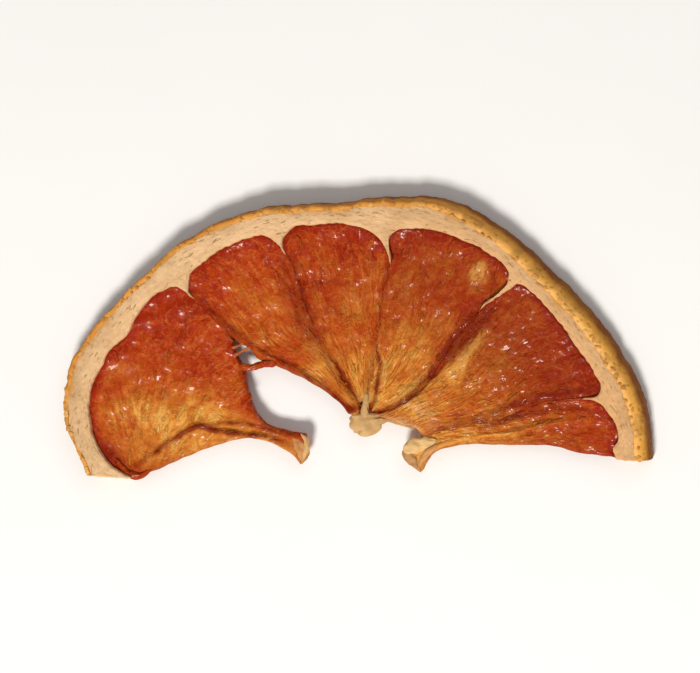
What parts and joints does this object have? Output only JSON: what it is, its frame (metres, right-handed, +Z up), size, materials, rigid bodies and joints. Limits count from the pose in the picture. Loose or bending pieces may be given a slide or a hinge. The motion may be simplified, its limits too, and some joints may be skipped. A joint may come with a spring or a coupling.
{
  "type": "dried grapefruit slice",
  "caption": "Dried half slice of grapefruit: arched rind with thin shrunken segments, upright skins between them and a torn core, lying flat.",
  "frame": {"origin": "under the middle of the slice's box, on the surface it lies on", "axes": "+X along the straight cut side, towards the rind's right end as seen from above; +Y towards the arch of the rind; +Z up through the slice's thickness"},
  "size_m": [0.0902, 0.0436, 0.0047],
  "materials": {
    "dried_flesh": "translucent dried pulp and skins, orange to dark red, glossy",
    "dried_pith": "cream to tan dried pith, matt, with small brown pores",
    "dried_peel": "golden to olive brown dried peel with oil gland dimples, satin"
  },
  "bodies": {
    "root": {"grapefruit_slice": "dried_flesh"}
  },
  "joints": []
}
